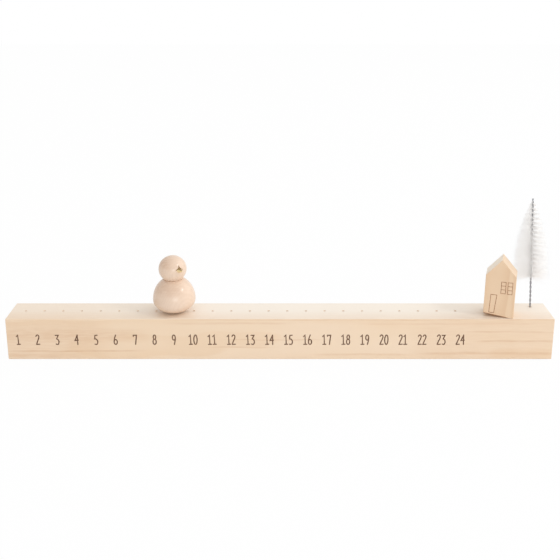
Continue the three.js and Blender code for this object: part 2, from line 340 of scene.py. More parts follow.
# Cuts closed cutters, each a list of (points, faces), out of a piece in one pass.
def carve(piece, solids):
    points = []
    faces = []
    for solidPoints, solidFaces in solids:
        first = len(points)
        points += solidPoints
        faces += [tuple(first + corner for corner in face) for face in solidFaces]
    cutter = newPiece("cutter", points, faces, [])
    modifier = piece.modifiers.new("carve", "BOOLEAN")
    modifier.operation = "DIFFERENCE"
    modifier.solver = "MANIFOLD"
    modifier.object = cutter
    carved = bpy.data.meshes.new_from_object(piece.evaluated_get(bpy.context.evaluated_depsgraph_get()))
    piece.modifiers.clear()
    piece.data = carved
    bpy.data.objects.remove(cutter)


# A smooth open curve through points.
def smoothPath(points, steps=6):
    last = len(points) - 1
    path = []
    for span in range(last):
        a, b, c, d = (Vector(points[min(max(span + k, 0), last)]) for k in (-1, 0, 1, 2))
        for step in range(steps):
            t = step / steps
            square = (2 * a - 5 * b + 4 * c - d) * t**2
            cube = (3 * b - a - 3 * c + d) * t**3
            path.append(0.5 * (2 * b + (c - a) * t + square + cube))
    path.append(Vector(points[last]))
    return path


def ovalPath(centre, across, up, steps=28):
    angles = [2 * math.pi * step / steps for step in range(steps)]
    return [Vector((centre[0] + across * math.cos(a), centre[1] + up * math.sin(a))) for a in angles]


# Both edges of a stroke of this width that follows a path in the plane.
def strokeEdges(path, width, closed):
    count = len(path)
    left = []
    right = []
    for i in range(count):
        before = path[(i - 1) % count] if closed or i > 0 else path[i]
        after = path[(i + 1) % count] if closed or i < count - 1 else path[i]
        coming = (path[i] - before).normalized()
        going = (after - path[i]).normalized()
        along = (coming + going).normalized()
        mitre = max(along.dot(coming), along.dot(going), 0.5)
        side = Vector((-along.y, along.x)) * (width / 2) / mitre
        left.append(path[i] + side)
        right.append(path[i] - side)
    return left, right


def roundEnd(tip, start, width, steps=5):
    arm = (start - tip).normalized() * (width / 2)
    turns = [math.pi * step / (steps + 1) for step in range(1, steps + 1)]
    return [tip + Matrix.Rotation(-angle, 2) @ arm for angle in turns]


engraving = {
    "taper": 0.25,  # a stroke is wider above the face by this share, and narrower at its floor
    "shallowest": 0.001,  # a face less deep than this is a part of the front
    "slack": 0.05,
    "mottle": (1.1, 1.1, 1.1), "mottleRange": (0.35, 0.65), "specular": 0.2, "roughness": 0.85,
}


# The cutter of one engraved stroke, from above the front face, y = 0, down to the stroke's floor.
def strokeCutter(path, width, depth, closed):
    points = []
    for y, share in ((-depth, 1 + engraving["taper"]), (depth, 1 - engraving["taper"])):
        left, right = strokeEdges(path, width * share, closed)
        if closed:
            loop = left + right
        else:
            loop = left + roundEnd(path[-1], left[-1], width * share)
            loop += right[::-1] + roundEnd(path[0], right[0], width * share)
        points += [(p.x, y, p.y) for p in loop]
    if not closed:
        return points, ringFaces(2, len(points) // 2)
    count = len(path)
    faces = []
    for i in range(count):
        j = (i + 1) % count
        for near, far in ((0, 1), (3, 2), (2, 0), (1, 3)):
            a, b = near * count, far * count
            faces.append((a + i, a + j, b + j, b + i))
    return points, faces


# Opens a shape for editing, with all its faces looking outwards.
def openShape(points, faces):
    shape = bmesh.new()
    corners = [shape.verts.new(point) for point in points]
    for face in faces:
        shape.faces.new([corners[i] for i in face])
    bmesh.ops.recalc_face_normals(shape, faces=shape.faces)
    return shape


def closeShape(shape):
    shape.verts.index_update()
    points = [corner.co.copy() for corner in shape.verts]
    faces = [tuple(corner.index for corner in face.verts) for face in shape.faces]
    shape.free()
    return points, faces


def outward(solid):
    return closeShape(openShape(*solid))


def engrave(strokes, matrix, width, depth):
    cutters = [outward(strokeCutter(path, width, depth, closed)) for path, closed in strokes]
    return [(movePoints(points, matrix), faces) for points, faces in cutters]


# Gives the second material to the faces engraved below a front, inside a reach and two heights.
def scorch(piece, front, depth, reach, bottom, top):
    for polygon in piece.data.polygons:
        x, y, z = polygon.center / mm
        isCut = engraving["shallowest"] < y - front < depth + engraving["slack"]
        if isCut and abs(x) < reach and bottom < z < top:
            polygon.material_index = 1


# Camera

camera = {
    "place": (0, -792.9, 359.4),  # millimetres
    "pitch": 16.52,  # degrees below level
    "lens": 58.84, "sensor": 36,
    "shift": -0.1,  # the photograph is framed a little below the lens's own middle
    "farthest": 50,  # metres
}


def makeCamera():
    data = bpy.data.cameras.new("photoCamera")
    data.lens = camera["lens"]
    data.sensor_width = camera["sensor"]
    data.shift_y = camera["shift"]
    data.clip_end = camera["farthest"]
    seer = addObject("photoCamera", data)
    seer.location = Vector(camera["place"]) * mm
    seer.rotation_euler = (math.radians(90 - camera["pitch"]), 0, 0)
    scene.camera = seer


# Studio: white surroundings, a soft lamp at the right, a small one for sparkle, a low one and a white floor

studio = {
    "lamps": {
        # direction from the beam, distance and side of the square in millimetres, power in watts
        "keyLamp": ((0.78, 0.26, 0.57), 2400, 1900, 9.0),
        "sparkLamp": ((0.69, -0.27, 0.66), 3000, 460, 9.5),
        "lowLamp": ((0.18, -0.97, 0.08), 3000, 1400, 21.0),
    },
    "skyAxis": (0.8, 0.0, 0.6),  # the surroundings are darkest behind this and brightest ahead of it
    "skyLight": (0.5, 0.97), "floorWhite": 0.9,
    "floorShadow": 0.04,  # how much of the floor's own shading the camera sees
    "floorSize": 6000,
}


def isSeenDirectly(graph):
    path = graph.nodes.new("ShaderNodeLightPath").outputs
    mirrored = doMath("MAXIMUM", path["Is Glossy Ray"], path["Is Transmission Ray"])
    return doMath("MAXIMUM", path["Is Camera Ray"], mirrored)


def makeStudio():
    for name, (direction, distance, size, power) in studio["lamps"].items():
        lamp = bpy.data.lights.new(name, "AREA")
        lamp.energy = power
        lamp.size = size * mm
        holder = addObject(name, lamp)
        away = Vector(direction).normalized()
        holder.location = away * distance * mm
        holder.rotation_euler = away.to_track_quat("Z", "Y").to_euler()

    world = bpy.data.worlds.new("whiteRoom")
    world.use_nodes = True
    scene.world = world
    graph = world.node_tree
    background = graph.nodes["Background"]
    background.inputs["Color"].default_value = (1, 1, 1, 1)
    direction = graph.nodes.new("ShaderNodeTexCoord").outputs["Generated"]
    axis = tuple(Vector(studio["skyAxis"]).normalized())
    both = {0: direction, 1: axis}
    ahead = addNode(graph, "ShaderNodeVectorMath", both, operation="DOT_PRODUCT").outputs["Value"]
    light = remap(ahead, -1, 1, *studio["skyLight"])
    plug(background.inputs["Strength"], remap(isSeenDirectly(graph), 0, 1, light, 1.0))

    material = bpy.data.materials.new("whiteFloor")
    material.use_nodes = True
    graph = material.node_tree
    graph.nodes.remove(graph.nodes["Principled BSDF"])
    white = (studio["floorWhite"],) * 3 + (1,)
    shaded = addNode(graph, "ShaderNodeBsdfDiffuse", {"Color": white}).outputs[0]
    glow = addNode(graph, "ShaderNodeEmission", {"Color": (1, 1, 1, 1), "Strength": 1.0}).outputs[0]
    share = doMath("MULTIPLY", isSeenDirectly(graph), 1 - studio["floorShadow"])
    mixed = addNode(graph, "ShaderNodeMixShader", {0: share, 1: shaded, 2: glow}).outputs[0]
    plug(graph.nodes["Material Output"].inputs["Surface"], mixed)
    half = studio["floorSize"] / 2
    corners = [(-half, -half, 0), (half, -half, 0), (half, half, 0), (-half, half, 0)]
    newPiece("floor", corners, [(0, 1, 2, 3)], [material])


makeCamera()
makeStudio()
print("camera and studio set")


# Beam

beam = {
    "longEdge": 1.2,  # radius of the long edges
    "endEdge": 0.6, "edgeSteps": 8, "endSteps": 4, "holeRadius": 1.0, "holeDepth": 13.2,
    "holeMouth": 0.25,
    "drillPoint": 59,  # half the angle of the drill's point
    "holeSides": 32, "stemHoleRadius": 1.36, "stemHoleDepth": 15.2, "days": 24,
    "dayPitch": 17.35, "firstDayFromEnd": 13.8, "snowmanDay": 9,
    "snowmanLean": -1.5,  # degrees towards the last day, as for the house and the tree
    "houseFromEnd": 48.4, "houseLean": 0.6, "houseBeforeRow": 6.5, "treeFromEnd": 14.8,
    "treeBehindRow": 10.5, "treeLean": -3,
    "grain": {"Pith Y": -95.0, "Pith Z": 14.0, "Ring Width": 3.4, "Waver": 9.0, "Reach": 110.0},
    "lateWood": 0.3,
    "warmth": (0.35, 0.7, 0.0, 0.45),  # tone from and to, and the share of the warm colour at each
    "roughness": (0.42, 0.56),
    "relief": (0.12, 0.0002),  # strength, and height in metres
    "light": screenColour(237, 214, 188), "dark": screenColour(226, 192, 155),
    # the paler colour is painted light and sheen on faces that look up
    "warm": screenColour(233, 206, 174), "topLightColour": screenColour(249, 242, 231),
    "veinAndShade": screenColour(214, 176, 139),
    # height, half width, from, to and strength of each darker band that the front shows. Most are veins of
    # grain; the two 46 wide darken the front towards its left and its right end, and the one at 39.4 runs
    # along its top edge
    "veinsAndShadeBands": [
        (20.0, 46.0, -330, -150, 0.28),
        (8.5, 1.3, -262, -117, 0.65),
        (24.0, 9.0, -290, -110, 0.4),
        (4.0, 3.0, -275, -180, 0.35),
        (19.4, 0.8, -60, 50, 0.5),
        (12.5, 1.1, -76, 6, 0.5),
        (36.0, 1.6, -110, 20, 0.35),
        (20.0, 46.0, 110, 340, 0.2),
        (27.3, 1.2, 160, 268, 0.5),
        (17.9, 1.5, 168, 270, 0.6),
        (6.0, 2.2, 120, 270, 0.5),
        (35.5, 1.5, 60, 240, 0.3),
        (39.4, 1.3, -110, 262, 0.5),
        (5.0, 1.6, 20, 130, 0.4),
    ],
    "bandFade": 30.0, "bandWaver": 3.0, "topLightLevel": 0.6,
    "topLightShare": 0.78,  # share of painted top light at the top's back edge at the right
    # where the painted top light is less: from and to, and how much less at each
    "lessTopLightAtLeft": (-210, -60, 0.3, 0.0), "lessTopLightAtFront": (-19, 4, 0.3, 0.0),
}
beamLow, beamHigh = (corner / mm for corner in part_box("beam"))


def makePineMaterial():
    material, graph, shader = newMaterial("beamPine", {})
    point = timberPoint(graph)
    grain, colour = startWood(point, beam)
    colour = mixColour(remap(grain["Tone"], *beam["warmth"]), colour, beam["warm"])
    colour = addVeins(point, colour, beam)
    parts = splitVector(point)
    # Painted light: the top is painted paler, most at its back and at its right
    atLeft = remap(parts["X"], *beam["lessTopLightAtLeft"])
    atFront = remap(parts["Y"], *beam["lessTopLightAtFront"])
    amount = doMath("SUBTRACT", beam["topLightShare"], doMath("ADD", atLeft, atFront))
    colour = bleach(colour, amount, beam)
    finishWood(shader, colour, grain["Fibre"], beam)
    return material


# Scorched wood in the engraved lines; on the snowman's head the same kind of material is painted shade in
# the grooves round the nose
def makeScorchedMaterial(name, pale, dark):
    settings = {"Specular IOR Level": engraving["specular"], "Roughness": engraving["roughness"]}
    material, graph, shader = newMaterial(name, settings)
    mottle = addNoise(timberPoint(graph), engraving["mottle"], 3.0)
    colour = mixColour(remap(mottle, *engraving["mottleRange"]), dark, pale)
    plug(shader.inputs["Base Color"], colour)
    return material


# Height of the point that the drill leaves at the end of a hole.
def drillPoint(radius):
    return radius / math.tan(math.radians(beam["drillPoint"]))


# A drilled hole below z = 0, with its pointed end and the broken rim.
def drilledHole(radius, depth):
    mouth = beam["holeMouth"]
    profile = [(0, -depth - drillPoint(radius)), (radius, -depth), (radius, -mouth)]
    profile += [(radius + mouth + 1, 1), (0, 1)]
    return turnProfile(profile, beam["holeSides"])


def beamSection(inset, x):
    inner = beam["longEdge"]
    radius = inner - inset
    steps = beam["edgeSteps"]
    corners = [(beamHigh.y, beamLow.z), (beamHigh.y, beamHigh.z)]
    corners += [(beamLow.y, beamHigh.z), (beamLow.y, beamLow.z)]
    points = []
    for corner, (y, z) in enumerate(corners):
        centreY = y - math.copysign(inner, y)
        centreZ = z - inner if z > beamLow.z else z + inner
        for step in range(steps + 1):
            angle = math.pi / 2 * (corner - 1 + step / steps)
            points.append((x, centreY + radius * math.cos(angle), centreZ + radius * math.sin(angle)))
    return points


def dayPlace(day):
    return beamLow.x + beam["firstDayFromEnd"] + (day - 1) * beam["dayPitch"]


# The place on the beam where a figure is pushed in, with its own lean.
def makeSeat(x, y, lean):
    return Matrix.Translation((x, y, beamHigh.z)) @ Matrix.Rotation(math.radians(lean), 4, "Y")


snowmanSeat = makeSeat(dayPlace(beam["snowmanDay"]), 0, beam["snowmanLean"])
houseSeat = makeSeat(beamHigh.x - beam["houseFromEnd"], -beam["houseBeforeRow"], beam["houseLean"])
treeSeat = makeSeat(beamHigh.x - beam["treeFromEnd"], beam["treeBehindRow"], beam["treeLean"])


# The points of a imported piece, measured in a seat.
def pointsIn(seat, node):
    back = seat.inverted()
    return [back @ (vertex.co / mm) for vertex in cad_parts[node].data.vertices]


# The two corners of the box round them.
def boxIn(seat, node):
    points = pointsIn(seat, node)
    return [Vector([end(point[axis] for point in points) for axis in range(3)]) for end in (min, max)]


# Numerals, as strokes in a box one wide and one high. A stroke is straight, curved or an oval.
numerals = {
    "height": 9.25,  # of the stroke's middle line; the stroke's own width comes on top
    "width": 3.0, "advance": 4.35,
    "middle": 19.7,  # above the underside of the beam
    "places": [(1, -239.5), (9, -97.0), (24, 165.0)],  # day and distance from the beam's middle
    "stroke": 1.1, "depth": 0.3,
    "scorched": screenColour(142, 112, 92), "scorchedDark": screenColour(98, 72, 56),
    "endGap": 2,  # the edges of the beam's ends stay bare
    "strokes": {
        "0": [("oval", (0.5, 0.5), 0.5, 0.5)],
        "1": [("line", (0.0, 0.84), (0.42, 0.99), (0.52, 0.0)), ("line", (0.08, 0.0), (0.98, 0.02))],
        "2": [
            ("curve", (0.03, 0.86), (0.25, 0.98), (0.62, 1.0), (0.9, 0.84),
             (0.74, 0.6), (0.36, 0.3), (0.06, 0.02)),
            ("line", (0.04, 0.0), (1.0, 0.02)),
        ],
        "3": [
            ("line", (0.0, 0.97), (0.88, 0.97), (0.34, 0.58)),
            ("curve", (0.34, 0.58), (0.76, 0.5), (1.0, 0.27), (0.76, 0.03), (0.4, 0.0), (0.12, 0.04)),
        ],
        "4": [("line", (0.72, 1.0), (0.0, 0.42), (1.0, 0.46)), ("line", (0.72, 1.0), (0.78, 0.0))],
        "5": [
            ("line", (0.86, 0.98), (0.2, 0.96), (0.08, 0.58)),
            ("curve", (0.08, 0.58), (0.56, 0.56), (0.96, 0.32), (0.78, 0.05), (0.4, 0.0), (0.1, 0.03)),
        ],
        "6": [
            ("curve", (0.56, 1.0), (0.3, 0.76), (0.07, 0.46), (0.02, 0.26)),
            ("oval", (0.5, 0.26), 0.48, 0.26),
        ],
        "7": [("line", (0.0, 0.87), (0.02, 0.98), (0.96, 0.98), (0.62, 0.0))],
        "8": [("oval", (0.5, 0.77), 0.38, 0.23), ("oval", (0.5, 0.28), 0.48, 0.28)],
        "9": [
            ("oval", (0.46, 0.73), 0.44, 0.27),
            ("curve", (0.9, 0.73), (0.88, 0.5), (0.76, 0.26), (0.58, 0.0)),
        ],
    },
}


def numeralPlace(day):
    days, places = zip(*numerals["places"])
    return float(np.interp(day, days, places))


# The strokes of one digit, each with whether it closes on itself.
def digitStrokes(digit, middle):
    wide, high = numerals["width"], numerals["height"]
    left = middle - wide / 2
    base = numerals["middle"] - high / 2
    for kind, *shape in numerals["strokes"][digit]:
        if kind == "oval":
            (u, v), across, up = shape
            path = ovalPath((left + u * wide, base + v * high), across * wide, up * high)
        else:
            path = [Vector((left + u * wide, base + v * high)) for u, v in shape]
            path = smoothPath(path) if kind == "curve" else path
        yield path, kind == "oval"


def makeBeam():
    endSteps = beam["endSteps"]
    angles = [math.pi / 2 * step / endSteps for step in range(endSteps + 1)]
    sections = [(beam["endEdge"] * (1 - math.cos(a)), beam["endEdge"] * (1 - math.sin(a))) for a in angles]
    rings = [beamSection(inset, beamLow.x + along) for along, inset in sections]
    for day in range(1, beam["days"]):
        rings.append(beamSection(0, (numeralPlace(day) + numeralPlace(day + 1)) / 2))
    rings += [beamSection(inset, beamHigh.x - along) for along, inset in reversed(sections)]
    points = [point for ring in rings for point in ring]
    faces = ringFaces(len(rings), len(rings[0]))
    pine = makePineMaterial()
    scorched = makeScorchedMaterial("scorchedNumeral", numerals["scorched"], numerals["scorchedDark"])
    piece = newPiece("beam_timber", *outward((points, faces)), [pine, scorched])

    holePoints, holeFaces = drilledHole(beam["holeRadius"], beam["holeDepth"])
    stemPoints, stemFaces = drilledHole(beam["stemHoleRadius"], beam["stemHoleDepth"])
    holes = [(movePoints(stemPoints, treeSeat), stemFaces)]
    holes.append((movePoints(holePoints, houseSeat), holeFaces))
    for day in range(1, beam["days"] + 1):
        place = snowmanSeat if day == beam["snowmanDay"] else makeSeat(dayPlace(day), 0, 0)
        holes.append((movePoints(holePoints, place), holeFaces))
    carve(piece, holes)

    face = Matrix.Translation((0, beamLow.y, 0))
    passes = {}  # the strokes of one digit cross, so each is cut in a pass of its own
    for day in range(1, beam["days"] + 1):
        text = str(day)
        for order, digit in enumerate(text):
            middle = numeralPlace(day) + (order - (len(text) - 1) / 2) * numerals["advance"]
            cutters = engrave(digitStrokes(digit, middle), face, numerals["stroke"], numerals["depth"])
            for number, cutter in enumerate(cutters):
                passes.setdefault(number, []).append(cutter)
    for cutters in passes.values():
        carve(piece, cutters)
    band = numerals["height"] / 2 + numerals["stroke"]
    middle = numerals["middle"]
    reach = beamHigh.x - numerals["endGap"]
    scorch(piece, beamLow.y, numerals["depth"], reach, middle - band, middle + band)
    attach(piece, "beam")
    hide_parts("beam")


makeBeam()
print("beam made")


# Snowman

snowman = {
    "bodyRiseBelow": 12.8,  # of the body ball's foot below its widest girth, if it weren't flat
    "bodyRiseAbove": 21.8, "headRise": 12.4, "neckRadius": 8.7,
    "foot": 0.2,  # height of the foot up its leaning axis, where its edge just meets the beam
    "touch": 0.15,  # each ball's flat reaches this far towards the other
    "socketRadius": 1.0, "socketDepth": 11.2, "neckHoleRadius": 2.65, "bodyHoleDepth": 10.2,
    "headHoleDepth": 9.2, "sides": 96, "steps": 48,
    "light": screenColour(231, 206, 184), "dark": screenColour(208, 174, 147),
    "grain": {"Pith Y": -60.0, "Pith Z": 30.0, "Ring Width": 2.2, "Waver": 5.0, "Reach": 60.0},
    "grainTurn": (0, 90, 25),  # degrees
    "lateWood": 0.1, "roughness": (0.2, 0.26), "relief": (0.06, 0.0001),
    "fleckScale": (0.35, 3.2, 3.2), "fleckOffset": (5, 5, 5), "flecks": (0.6, 0.75, 0.0, 0.2),
    # colour of the painted shade bands
    "veinAndShade": screenColour(208, 174, 147),
    # height, half width, from, to and strength of each darker band in the balls: painted shade on the
    # head's left, on the body's upper left under the head, and on the body's left
    "veinsAndShadeBands": [
        (89.0, 7.5, -122, -90, 0.75),
        (66.0, 9.0, -128, -82, 0.6),
        (54.0, 5.0, -128, -104, 0.3),
    ],
    "bandFade": 14.0, "bandWaver": 3.0,
    # painted shade: the darker colours of the grooves round the nose
    "grooveShade": screenColour(180, 148, 108), "grooveShadeDark": screenColour(140, 110, 76),
}

nose = {
    "turn": 34,  # degrees from the numbered side towards the last day
    "lift": 8, "radius": 2.1, "rim": 0.35, "edge": 0.08, "length": 6.2, "tipRadius": 0.6,
    "tipSteps": 8, "sides": 48,
    "gap": 0.3,  # of its CAD solid, to the head
    "sink": 0.22,  # how far its back goes into the head, so that the rim meets the ball
    "metallic": 1.0, "patches": (0.9, 0.9, 0.9), "patchRange": (0.4, 0.7),
    "clean": screenColour(252, 240, 198), "worn": screenColour(232, 208, 148),
    "roughness": (0.2, 0.34),
    # painted reflection: the darker colour of the side that looks up
    "darkReflection": screenColour(150, 124, 82),
    "darkReflectionRange": (0.05, 0.75, 0.0, 0.9),  # how far up a face looks, from and to, and the share of painted dark reflection at each
    "grooveCentre": (0.6, 1.9),  # to the right of the nose's axis and above it
    # direction from there in degrees, length, width and depth of each groove of painted shade
    "shadeGrooves": [(90, 3.2, 2.0, 0.5), (205, 4.8, 1.9, 0.5), (-30, 4.6, 1.8, 0.5)],
    "grooveSteps": 8,
    "grooveMouth": (1.3, 0.5),  # half widths to each side, and height above the ball
    "grooveFloor": 0.5,  # half widths to each side
    "grooveTip": 0.08,  # half the width that is left at its far end
    "grooveShoals": 0.75,  # share of its depth that it has lost there
    "grooveFound": (0.04, 1.5),  # depths under the ball's surface at which a face belongs to a groove
    "grooveCone": 0.85,  # cosine of the widest angle from the nose at which it does
}
noseTurn = Matrix.Rotation(math.radians(nose["turn"]), 4, "Z")
noseTurn = noseTurn @ Matrix.Rotation(math.radians(90 - nose["lift"]), 4, "X")


def makeBeechMaterial():
    material, graph, shader = newMaterial("turnedBeech", {})
    point = timberPoint(graph, [math.radians(angle) for angle in snowman["grainTurn"]])
    grain, colour = startWood(point, snowman)
    noise = addNoise(point, snowman["fleckScale"], 2.0, snowman["fleckOffset"])
    colour = mixColour(remap(noise, *snowman["flecks"]), colour, snowman["dark"])
    # Painted shade: darker bands on the head's left and on the body's upper left and left side
    colour = addVeins(timberPoint(graph), colour, snowman)
    finishWood(shader, colour, grain["Fibre"], snowman)
    return material


# A turned ball with a flat foot, a flat crown or none, and a hole drilled on its axis into each flat.
def ballProfile(radius, riseBelow, riseAbove, low, high, footHole, crownHole):
    holeRadius, depth = footHole
    bottom = riseBelow * math.sin(low)
    end = bottom + depth
    profile = [(0, end + drillPoint(holeRadius)), (holeRadius, end), (holeRadius, bottom)]
    for step in range(snowman["steps"] + 1):
        angle = low + (high - low) * step / snowman["steps"]
        rise = riseBelow if angle < 0 else riseAbove
        profile.append((radius * math.cos(angle), rise * math.sin(angle)))
    if crownHole:
        holeRadius, depth = crownHole
        top = riseAbove * math.sin(high)
        end = top - depth
        profile += [(holeRadius, top), (holeRadius, end), (0, end - drillPoint(holeRadius))]
    else:
        profile[-1] = (0, riseAbove)
    return profile


# How far the head's surface is from its middle in a direction.
def surfaceReach(direction, radius, rise):
    return 1 / math.hypot(math.hypot(direction.x, direction.y) / radius, direction.z / rise)


# Painted shade round the nose: a groove for each arm of a dark star, which follows the ball, with its faces
# given the darker second material. They stand in for the nose's shadow and its dark reflection.
def carveSplits(head, place, radius, rise):
    turned = noseTurn.to_3x3()
    steps = nose["grooveSteps"]
    mouth, above = nose["grooveMouth"]
    floor = nose["grooveFloor"]
    for angle, length, width, depth in nose["shadeGrooves"]:
        way = math.radians(angle)
        outwards = Vector((math.cos(way), math.sin(way), 0))
        sideways = Vector((-math.sin(way), math.cos(way), 0))
        points = []
        for step in range(steps + 1):
            share = step / steps
            along = Vector((*nose["grooveCentre"], radius)) + outwards * (share * length)
            half = width / 2 * (1 - share) + nose["grooveTip"]
            deep = depth * (1 - nose["grooveShoals"] * share)
            for offset, level in ((-mouth, above), (mouth, above), (floor, -deep), (-floor, -deep)):
                direction = turned @ (along + sideways * (half * offset)).normalized()
                points.append(direction * (surfaceReach(direction, radius, rise) + level))
        carve(head, [outward((movePoints(points, place), ringFaces(steps + 1, 4)))])
    # Painted shade: the faces inside the grooves take the darker second material
    back = place.inverted()
    axis = turned @ Vector((0, 0, 1))
    for polygon in head.data.polygons:
        centre = back @ (polygon.center / mm)
        direction = centre.normalized()
        below = surfaceReach(direction, radius, rise) - centre.length
        isCut = nose["grooveFound"][0] < below < nose["grooveFound"][1]
        if isCut and direction.dot(axis) > nose["grooveCone"]:
            polygon.material_index = 1


def makeSnowman():
    beech = makeBeechMaterial()
    bodyLow, bodyHigh = boxIn(snowmanSeat, "snowman_body")
    neck = (snowman["neckHoleRadius"], snowman["bodyHoleDepth"])
    socket = (snowman["socketRadius"], snowman["socketDepth"])
    radius = (bodyHigh.x - bodyLow.x) / 2
    riseBelow, riseAbove = snowman["bodyRiseBelow"], snowman["bodyRiseAbove"]
    middle = bodyHigh.z - riseAbove * math.sin(math.acos(snowman["neckRadius"] / radius))
    low = -math.asin((middle - snowman["foot"]) / riseBelow)
    high = math.asin((bodyHigh.z + snowman["touch"] - middle) / riseAbove)
    profile = ballProfile(radius, riseBelow, riseAbove, low, high, socket, neck)
    place = snowmanSeat @ Matrix.Translation((0, 0, middle))
    body = turnPiece("snowman_body_ball", profile, snowman["sides"], place, [beech])
    smoothShade(body)
    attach(body, "snowman")
    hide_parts("snowman_body")

    headLow, headHigh = boxIn(snowmanSeat, "snowman_head")
    radius = (headHigh.x - headLow.x) / 2
    rise = snowman["headRise"]
    middle = headHigh.z - rise
    low = -math.asin((middle - bodyHigh.z - snowman["touch"]) / rise)
    hole = (snowman["neckHoleRadius"], snowman["headHoleDepth"])
    profile = ballProfile(radius, rise, rise, low, math.pi / 2, hole, None)
    place = snowmanSeat @ Matrix.Translation((0, 0, middle))
    grooveShade = makeScorchedMaterial("shadedGrooveBeech", snowman["grooveShade"], snowman["grooveShadeDark"])
    head = turnPiece("snowman_head_ball", profile, snowman["sides"], place, [beech, grooveShade])
    carveSplits(head, place, radius, rise)
    smoothShade(head)
    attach(head, "snowman")
    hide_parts("snowman_head")

    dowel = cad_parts["snowman_neck_dowel"].data
    dowel.materials.clear()
    dowel.materials.append(beech)
    return place, radius, rise


headSeat, headRadius, headRise = makeSnowman()
print("snowman made")


# A metal between two colours, in patches. Its look is the dictionary of the piece that it is for.
def startMetal(name, look):
    material, graph, shader = newMaterial(name, {"Metallic": look["metallic"]})
    patches = addNoise(timberPoint(graph), look["patches"], 3.0)
    colour = mixColour(remap(patches, *look["patchRange"]), look["clean"], look["worn"])
    plug(shader.inputs["Roughness"], remap(patches, 0.3, 0.7, *look["roughness"]))
    return material, graph, shader.inputs["Base Color"], colour


# Nose: a small polished brass cone, with a painted dark reflection on the side that looks up

def makeBrassMaterial():
    material, graph, socket, colour = startMetal("polishedBrass", nose)
    # Painted reflection: the side that looks up is painted darker
    darkReflection = remap(facing(graph, "Z"), *nose["darkReflectionRange"])
    plug(socket, mixColour(darkReflection, colour, nose["darkReflection"]))
    return material


def makeNose():
    lift = math.radians(nose["lift"])
    reach = 1 / math.hypot(math.cos(lift) / headRadius, math.sin(lift) / headRise)
    radius, edge = nose["radius"], nose["edge"]
    bottom = reach - nose["sink"]
    base = reach + nose["gap"]
    front = base + nose["rim"]
    profile = [(0, bottom), (radius - edge, bottom), (radius, bottom + edge)]
    profile += [(radius, front - edge), (radius - edge / 2, front)]
    for step in range(nose["tipSteps"] + 1):
        angle = math.pi / 2 * step / nose["tipSteps"]
        height = base + nose["length"] + nose["tipRadius"] * (math.sin(angle) - 1)
        profile.append((nose["tipRadius"] * math.cos(angle) if step < nose["tipSteps"] else 0, height))
    seat = headSeat @ noseTurn
    piece = turnPiece("snowman_nose_cone", profile, nose["sides"], seat, [makeBrassMaterial()])
    smoothShade(piece)
    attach(piece, "snowman")
    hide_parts("snowman_nose")


makeNose()


# Steel pegs under the snowman and the house

peg = {
    "radius": 0.8, "chamfer": 0.3, "sides": 32, "metallic": 1.0, "patches": (6, 6, 0.15),
    "patchRange": (0.3, 0.7),
    "clean": screenColour(176, 178, 181), "worn": screenColour(140, 142, 146),
    "roughness": (0.25, 0.42),
}


def makePegs():
    steel, _, socket, colour = startMetal("drawnSteel", peg)
    plug(socket, colour)
    radius, chamfer = peg["radius"], peg["chamfer"]
    for node, seat in (("snowman_peg", snowmanSeat), ("house_peg", houseSeat)):
        low, high = boxIn(seat, node)
        profile = [(0, low.z), (radius - chamfer, low.z), (radius, low.z + chamfer)]
        profile += [(radius, high.z - chamfer), (radius - chamfer, high.z), (0, high.z)]
        piece = turnPiece(node + "_pin", profile, peg["sides"], seat, [steel])
        smoothShade(piece)
        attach(piece, node)
        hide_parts(node)


makePegs()
print("nose and pegs made")


# House

house = {
    "turn": -16,  # degrees
    "foot": 0.18,  # height of its base up its leaning axis, where one corner just meets the beam
    "cutRise": 3.1,  # its base was sawn off the square, so that it stands up at its front left corner
    "cutReach": 0.7,  # where the saw cut ends at the front: right of the middle, in half widths
    "edge": 0.45, "edgeSegments": 4, "stroke": 0.5, "depth": 0.25,
    "scorched": screenColour(190, 140, 108), "scorchedDark": screenColour(150, 100, 72),
    "sideGap": 0.6,  # the house's own edges stay bare, and so do those of its base
    "baseGap": 1,
    "door": (5.7, 11.0, 4.0, 21.4),  # left, right, bottom and top, from the front's lower left corner
    "doorFoot": (-0.7, -1.6),  # its lower corners are out of true by this much, the left and the right one
    "windows": [(14.3, 18.3, 23.2, 34.2), (20.1, 24.2, 23.0, 34.2)], "windowBars": 2,
    "grain": {"Pith Y": -45.0, "Pith Z": 4.0, "Ring Width": 2.6, "Waver": 5.0, "Reach": 60.0},
    "lateWood": 0.42, "roughness": (0.42, 0.56), "relief": (0.12, 0.0002),
    "light": screenColour(232, 203, 171), "dark": screenColour(217, 178, 139),
    # painted light: faces that look up, the roof's slopes, are painted paler
    "topLightColour": screenColour(253, 239, 220), "topLightLevel": 0.3,
    "topLightShare": (0.9, 0.2),  # share of painted light on the left and the right slope of the roof
    "ridgeBlend": 0.2,  # a face that looks less to one side than this takes a part of each
    "veinAndShade": screenColour(206, 165, 124), "veinsAndShadeBands": [(3.0, 1.4, -60.0, 10.0, 0.4)],
    "bandFade": 12.0, "bandWaver": 2.0,
}


# The grain stands upright in the house's own frame, turned back by its turn.
def makeHousePineMaterial(turn):
    material, graph, shader = newMaterial("housePine", {})
    place = timberPoint(graph, (0, 0, -turn), tuple(-houseSeat.translation))
    upright = {"Vector": place, "Rotation": (0, math.radians(90), 0)}
    point = addNode(graph, "ShaderNodeMapping", upright).outputs[0]
    grain, colour = startWood(point, house)
    colour = addVeins(point, colour, house)
    # Painted light: the roof is painted paler, its left slope more than its right
    blend = house["ridgeBlend"]
    amount = remap(facing(graph, "X"), -blend, blend, *house["topLightShare"])
    colour = bleach(colour, amount, house)
    finishWood(shader, colour, grain["Fibre"], house)
    return material


def rectangle(left, right, bottom, top, foot=(0, 0)):
    corners = [(left + foot[0], bottom), (right + foot[1], bottom), (right, top), (left, top)]
    return [Vector(corner) for corner in corners]


